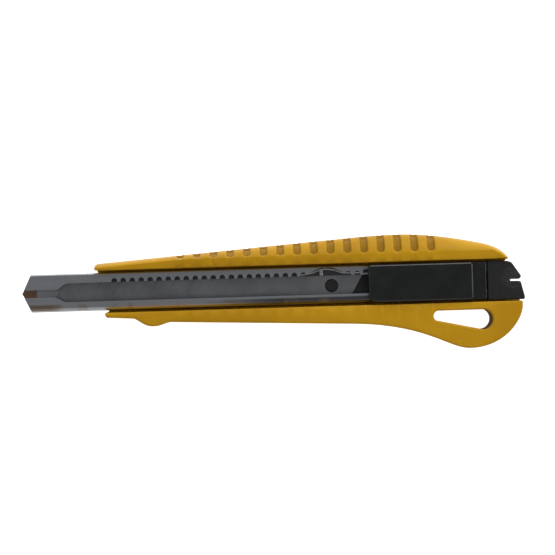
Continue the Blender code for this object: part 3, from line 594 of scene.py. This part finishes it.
channel = dict(wall=0.45, corner=0.5, roll=1.2, noseTop=2.9, noseBottom=2.95, lipBehind=0.5, slot=2.5,
               neckTop=0.9, neckLow=1.1, neckEnd=9.5, blend=3.0, notchFirst=25.1, notchPitch=2.4,
               notchCount=28, notchWidth=1.5, notchDepth=1.05)
window = dict(centre=81.6, half=5.5, base=3.1, top=4.7)


def roundedBox(half, low, high, radius, roll=None, steps=8):
    # roll is the radius of the lower lip's corner, at -y and +z
    roll = roll or radius
    corners = [(half - radius, low + radius, radius, -90), (half - radius, high - radius, radius, 0),
               (roll - half, high - roll, roll, 90), (radius - half, low + radius, radius, 180)]
    return [p for y, z, r, start in corners for p in arc((y, z), r, start, start + 90, steps)]


def slotOutline():
    wide, top, low = channel["slot"], channel["neckTop"], channel["neckLow"]
    neckEnd, blend = channel["neckEnd"], channel["neckEnd"] + channel["blend"]
    end = channelHigh.x + 1
    lower = [(-1, -low), (neckEnd - 0.6, -low)]
    lower += curve(lower[-1], (neckEnd + 0.4, -low), (blend - 1.4, -wide), (blend, -wide), 14)
    upper = [(-1, top), (neckEnd, top)]
    upper += curve(upper[-1], (neckEnd + 1.3, top), (blend - 1.6, wide), (blend + 0.4, wide), 14)
    radius = channel["notchWidth"] / 2
    for i in range(channel["notchCount"]):
        middle = channel["notchFirst"] + i * channel["notchPitch"]
        crown = (middle, wide + channel["notchDepth"] - radius)
        upper += [(middle - radius, wide)] + arc(crown, radius, 180, 0, 12) + [(middle + radius, wide)]
    return lower + [(end, -wide), (end, wide)] + upper[::-1]


def windowOutline():
    left, right = window["centre"] - window["half"], window["centre"] + window["half"]
    base, top, edge = window["base"], window["top"], channel["slot"] - 0.2
    line = [(left, edge), (right, edge), (right, base)]
    centre = window["centre"]
    line += curve(line[-1], (right - 2.2, base + 0.2), (centre + 3, top), (centre, top), 14)
    line += curve(line[-1], (centre - 3, top), (left + 2.2, base + 0.2), (left, base), 14)
    return line


def makeChannel():
    half, wall = channelHigh.y, channel["wall"]
    outer = roundedBox(half, channelLow.z, channelHigh.z, channel["corner"], channel["roll"], 14)
    obj = piece("bladeChannel", barMesh(outer, 0, channelHigh.x))
    inner = roundedBox(half - wall, channelLow.z + wall, channelHigh.z - wall, channel["corner"] - wall,
                       channel["roll"] - wall, 10)
    carve(obj, barMesh(inner, -1, channelHigh.x + 1))
    middle = (channelLow.z + channelHigh.z) / 2
    carve(obj, prismMesh(slotOutline(), middle, channelHigh.z + 1))
    carve(obj, prismMesh(windowOutline(), middle, channelHigh.z + 1))
    for side, setback in ((1, channel["noseTop"]), (-1, channel["noseBottom"])):
        for start, low in ((0, channelLow.z - 1), (channel["lipBehind"], middle)):
            far = start + (setback - start) * (half + 1) / half
            wedge = [(-1, 0), (start, 0), (far, side * (half + 1)), (-1, side * (half + 1))]
            carve(obj, prismMesh(wedge, low, channelHigh.z + 1))
    # unclamped, the rounding of the lips' close edges reaches the blade's path
    dress(obj, "knife_body", "blade_channel", channelSteel(), edge=0.04, clamp=True)


# snap-off blade

thumb = dict(shelfDrop=1.5, round=0.6, corner=0.7, socket=1.1, toe=2.0, toeRise=1.2, tab=1.3,
             tabLow=3.0, tabHigh=3.9, tabThick=0.6)
blade = dict(length=80.0, pitch=5.0, scores=13, scoreWidth=0.18, scoreDepth=0.07, hone=1.3, rake=30.0,
             holeFromEnd=6.9, hole=1.75, drop=0.2, boss=1.6, proud=0.35)
bladeLean = tan(radians(blade["rake"]))
bladeRear = thumbLow.x + thumb["tab"] - 2.8
bladeFront = bladeRear - blade["length"]
holeAt = (bladeRear - blade["holeFromEnd"], -blade["drop"])


def ringAtHole(radius):
    # 48 points, the last a step short of the first
    return arc(holeAt, radius, 0, 352.5, 47)


def keepSide(bm, point, normal):
    parts = bm.verts[:] + bm.edges[:] + bm.faces[:]
    made = bmesh.ops.bisect_plane(bm, geom=parts, plane_co=point, plane_no=normal, clear_inner=True)
    rim = [e for e in made["geom_cut"] if isinstance(e, bmesh.types.BMEdge)]
    bmesh.ops.holes_fill(bm, edges=rim)


def scoreCutter(station, reach):
    top, deep = bladeHigh.z + 0.2, bladeHigh.z - blade["scoreDepth"]
    wide = blade["scoreWidth"] / 2 * (blade["scoreDepth"] + 0.2) / blade["scoreDepth"]
    rings = []
    for y in (-reach, reach):
        x = station + y * bladeLean
        rings.append([spot(x, y, deep), spot(x + wide, y, top), spot(x - wide, y, top)])
    return tubeMesh(rings)


def makeBlade():
    half, middle = bladeHigh.y, (bladeLow.z + bladeHigh.z) / 2
    hone = -half + blade["hone"]
    section = [(half, bladeLow.z), (half, bladeHigh.z), (hone, bladeHigh.z), (-half, middle + 0.02),
               (-half, middle - 0.02), (hone, bladeLow.z)]
    bm = barMesh(section, bladeLow.x - 4, bladeHigh.x + 4)
    slant = Vector((cos(radians(blade["rake"])), -sin(radians(blade["rake"])), 0))
    keepSide(bm, spot(bladeFront, 0), slant)
    keepSide(bm, spot(bladeRear, 0), -slant)
    obj = piece("snapBlade", bm)
    carve(obj, prismMesh(ringAtHole(blade["hole"]), bladeLow.z - 1, bladeHigh.z + 1))
    for i in range(1, blade["scores"] + 1):
        carve(obj, scoreCutter(bladeFront + i * blade["pitch"], half + 1))
    dress(obj, "blade_carriage", "snap_blade", bladeSteel(), edge=0.02)


# holder, spring and slider

holder = dict(gap=0.15, plate=0.9, pusher=0.9, inset=0.5, stem=2.2, stemFront=1.7, stemRear=1.0,
              shelf=3.65, sunk=0.4)
spring = dict(gauge=0.3, arm=3.1, root=1.0, rootLength=4.5, tail=1.6, bow=10.4, rise=1.15, ahead=12.8,
              height=0.75, toothAt=23, tooth=0.9, toothDeep=0.75)
thumbFront = thumbLow.x + thumb["tab"]


def springPath():
    stem = thumbFront + holder["stemFront"]
    centre, half = stem - spring["ahead"], spring["bow"] / 2
    rear, front, arm = centre + half, centre - half, spring["arm"]
    crown = (centre, arm + spring["rise"])
    path = [(stem + spring["rootLength"], spring["root"]), (stem + 1.6, spring["root"])]
    path += curve(path[-1], (stem + 0.2, spring["root"]), (stem + 0.6, arm), (stem - 1.4, arm), 12)
    path += [(rear, arm)]
    path += curve(path[-1], (rear - 1.9, arm), (crown[0] + 2.6, crown[1]), crown, 16)
    path += curve(crown, (crown[0] - 2.6, crown[1]), (front + 1.9, arm), (front, arm), 16)
    return path + [(front - spring["tail"], arm - 0.25)]


def ribbon(path, thickness):
    left, right = [], []
    for i, point in enumerate(path):
        before, after = path[max(i - 1, 0)], path[min(i + 1, len(path) - 1)]
        along = Vector((after[0] - before[0], after[1] - before[1])).normalized()
        side = Vector((-along.y, along.x)) * thickness / 2
        left.append((point[0] + side.x, point[1] + side.y))
        right.append((point[0] - side.x, point[1] - side.y))
    return left + right[::-1]


def makeHolder():
    half = holderHigh.y
    plateTop = holderLow.z + holder["plate"]
    sunk = plateTop - holder["sunk"]
    lean = bladeRear + holder["gap"] / cos(radians(blade["rake"]))
    plate = prismMesh([(holderLow.x, -half), (holderHigh.x, -half), (holderHigh.x, half),
                       (holderLow.x, half)], holderLow.z, plateTop)
    obj = piece("bladeHolder", plate)
    boss = prismMesh(ringAtHole(blade["boss"]), sunk, bladeHigh.z + blade["proud"])
    softenEdges(boss, 0.22, lambda e: level(e, bladeHigh.z + blade["proud"]), 4)
    weld(obj, boss)
    low = holder["inset"] - half
    pusher = prismMesh([(lean + low * bladeLean, low), (holderHigh.x, low), (holderHigh.x, half),
                        (lean + half * bladeLean, half)], sunk, plateTop + holder["pusher"])
    weld(obj, pusher)
    front, rear = thumbFront + holder["stemFront"], thumbHigh.x - holder["shelf"] - holder["stemRear"]
    side = holder["stem"]
    stem = prismMesh([(front, -side), (rear, -side), (rear, side), (front, side)], plateTop, holderHigh.z)
    weld(obj, stem)
    root = [p for p in springPath() if p[0] > front - 8.0]
    root[0] = (root[0][0] + 0.15, root[0][1])
    carve(obj, prismMesh(ribbon(root, spring["gauge"] + 0.3), springLow.z - 0.15,
                         springLow.z + spring["height"] + 0.15))
    dress(obj, "blade_carriage", "blade_holder", blackPlastic("holderBlack", 0.42), edge=0.06)


def makeSpring():
    low, high = springLow.z, springLow.z + spring["height"]
    obj = piece("lockSpring", prismMesh(ribbon(springPath(), spring["gauge"]), low, high))
    # the tooth that stands in a notch: a web below the lip and a tip that reaches into the slot's edge
    at = channel["notchFirst"] + spring["toothAt"] * channel["notchPitch"]
    left, right, foot = at - spring["tooth"] / 2, at + spring["tooth"] / 2, channel["slot"] + 0.1
    crown, tip = spring["arm"] + spring["rise"], foot + spring["toothDeep"]
    weld(obj, prismMesh([(left, foot), (right, foot), (right, crown), (left, crown)], low + 0.2, high - 0.2))
    weld(obj, prismMesh([(left, foot), (right, foot), (right, tip), (left, tip)], low + 0.2, springHigh.z))
    dress(obj, "blade_carriage", "lock_spring", springSteel(), edge=0.03)


def makeThumb():
    half, top, low = thumbHigh.y, thumbHigh.z, thumbLow.z
    front, rear = thumbFront, thumbHigh.x
    split, corner = rear - holder["shelf"], thumb["corner"]
    shelfTop = top - thumb["shelfDrop"]
    shelf = prismMesh([(front + 2, -half), (rear, -half), (rear, half), (front + 2, half)], low, shelfTop)
    softenEdges(shelf, 0.3, lambda e: level(e, shelfTop), 3)
    obj = piece("thumbSlider", shelf)
    toe, rise = thumb["toe"], thumb["toeRise"]
    outline = [(front, -half + rise), (front + toe * 0.35, -half + rise * 0.35), (front + toe, -half)]
    outline += arc((split - corner, -half + corner), corner, -90, 0, 8)
    outline += arc((split - corner, half - corner), corner, 0, 90, 8)
    outline += arc((front + corner, half - corner), corner, 90, 180, 8)
    pad = prismMesh(outline, low, top)
    softenEdges(pad, thumb["round"], lambda e: level(e, top), 6)
    weld(obj, pad)
    # the tab that lies on the toothed lip
    tabBack, tip = low + 0.05, front - thumb["tab"]
    tab = [(tip, thumb["tabLow"]), (front + 1.5, thumb["tabLow"]), (front + 1.5, thumb["tabHigh"]),
           (tip + 0.4, thumb["tabHigh"]), (tip, thumb["tabHigh"] - 0.4)]
    weld(obj, prismMesh(tab, tabBack, tabBack + thumb["tabThick"]))
    stemFront, stemRear = front + holder["stemFront"] - 0.15, split - holder["stemRear"] + 0.15
    side = holder["stem"] + 0.15
    socket = [(stemFront, -side), (stemRear, -side), (stemRear, side), (stemFront, side)]
    carve(obj, prismMesh(socket, low - 1, low + thumb["socket"]))
    dress(obj, "blade_carriage", "thumb_slider", blackPlastic("sliderBlack", 0.24), edge=0.06)


# rear cap

cap = dict(length=9.85, tongue=4.9, slotDepth=3.9, slot=0.5, slotY=-0.13, edge=0.3)


def capOutline(front, half):
    end = knifeEnd
    line = [(front, -half)] + arc((end - 0.5, -half + 0.5), 0.5, -90, 12, 8)
    line += curve((end - 0.85, -1.1), (end - 0.95, -0.6), (end - 1.1, -0.45), (end - 1.5, -0.45), 8)
    line += curve((end - 1.4, 0.35), (end - 0.9, 0.45), (end - 0.8, 0.75), (end - 1.1, 1.3), 8)
    line += curve((end - 3.0, 4.1), (end - 3.3, 4.75), (end - 4.0, 4.9), (end - 4.5, 5.0), 8)
    return line + [(front + 1.0, half), (front, half)]


def makeCap():
    front, lapFront = channelHigh.x + 0.3, knifeEnd - cap["length"]
    top = capHigh.z
    lapLow = channelHigh.z + 0.3
    plug = prismMesh(capOutline(front, trough["half"] - 0.3), channelLow.z, top - 0.5)
    obj = piece("rearCap", plug)
    lap = prismMesh(capOutline(lapFront, trough["face"] - 0.35), lapLow, top)
    softenEdges(lap, cap["edge"], lambda e: level(e, top), 4)
    weld(obj, lap)
    wall = channel["wall"] + 0.15
    tongue = roundedBox(channelHigh.y - wall, channelLow.z + wall, channelHigh.z - wall, 0.25,
                        channel["roll"] - channel["wall"], 6)
    weld(obj, barMesh(tongue, front - cap["tongue"], front + 0.5))
    root = (knifeEnd - cap["slotDepth"] + cap["slot"] / 2, cap["slotY"])
    slot = arc(root, cap["slot"] / 2, 90, 270, 12)
    low, high = cap["slotY"] - cap["slot"] / 2, cap["slotY"] + cap["slot"] / 2
    slot += [(knifeEnd - 1.6, low), (knifeEnd + 1, low - 0.3), (knifeEnd + 1, high + 0.5),
             (knifeEnd - 1.8, high)]
    carve(obj, prismMesh(slot, capLow.z - 1, top + 1))
    wear = dict(centre=spot(knifeEnd - 2.9, 0.7, top), reach=4.2 * mm)
    dress(obj, "rear_cap", "rear_cap", blackPlastic("capBlack", 0.40, wear), edge=0.07)


# studio

studio = dict(height=450.0, width=148.0, lookX=1.5, lookY=2.4, roll=1.72, focusZ=6.0)


def makeFloor():
    bm = bmesh.new()
    bmesh.ops.create_grid(bm, x_segments=1, y_segments=1, size=3.0)
    floorPiece = piece("studioFloor", bm)
    f = Finish("floorPaint", Specular_IOR_Level=0.0, Roughness=1.0, Emission_Strength=1.0,
               Emission_Color=paint(1, 1, 1))
    f.feed(Base_Color=f.mix(f.noise(3, 2), paint(0.60, 0.60, 0.60), paint(0.62, 0.62, 0.62)))
    floorPiece.data.materials.append(f.material)


def makeCamera():
    data = bpy.data.cameras.new("studioCamera")
    data.sensor_width = 36
    data.lens = 36 * studio["height"] / studio["width"]
    data.clip_start = 0.01
    camera = bpy.data.objects.new("studioCamera", data)
    camera.location = Vector((studio["lookX"], studio["lookY"], studio["height"] + studio["focusZ"])) * mm
    camera.rotation_euler = (0, 0, radians(-studio["roll"]))
    bpy.context.scene.collection.objects.link(camera)
    bpy.context.scene.camera = camera


def makeLamp(name, place, power, size):
    data = bpy.data.lights.new(name, "AREA")
    data.energy, data.size = power, size
    lamp = bpy.data.objects.new(name, data)
    lamp.location = place
    lamp.rotation_euler = (-Vector(place)).to_track_quat("-Z", "Y").to_euler()
    bpy.context.scene.collection.objects.link(lamp)


def makeWorld():
    # bright low down all round, darker overhead, and darker on the finger side
    world = bpy.data.worlds.new("studioSky")
    world.use_nodes = True
    sky = Nodes(world.node_tree)
    place = sky.node("ShaderNodeTexCoord", {}, {}, "Generated")
    y, z = [sky.node("ShaderNodeSeparateXYZ", {}, {0: place}, i) for i in (1, 2)]
    greys = [(0.02, 0.05), (0.14, 0.75), (0.45, 0.62), (0.88, 0.20)]
    stops = [(position, (grey, grey * 1.01, grey * 1.03)) for position, grey in greys]
    glow = sky.node("ShaderNodeValToRGB", {"stops": stops}, {0: z})
    limits = {"Value": y, "From Min": -0.75, "From Max": 0.1, "To Min": 0.30, "To Max": 1.0}
    side = sky.node("ShaderNodeMapRange", {}, limits)
    background = sky.tree.nodes["Background"]
    sky.tree.links.new(glow.socket, background.inputs["Color"])
    sky.tree.links.new(side.socket, background.inputs["Strength"])
    bpy.context.scene.world = world


makeFloor()
makeCamera()
makeWorld()
makeLamp("keyLamp", (0.12, 0.50, 0.34), 1.6, 0.30)
makeLamp("tailLamp", (0.55, 0.06, 0.24), 0.8, 0.20)
makeLamp("fillLamp", (0.10, -0.45, 0.42), 0.6, 0.50)
bpy.context.scene.view_settings.view_transform = "Standard"
print("studio ready")

makeGrip()
makeChannel()
makeBlade()
makeHolder()
makeSpring()
makeThumb()
makeCap()
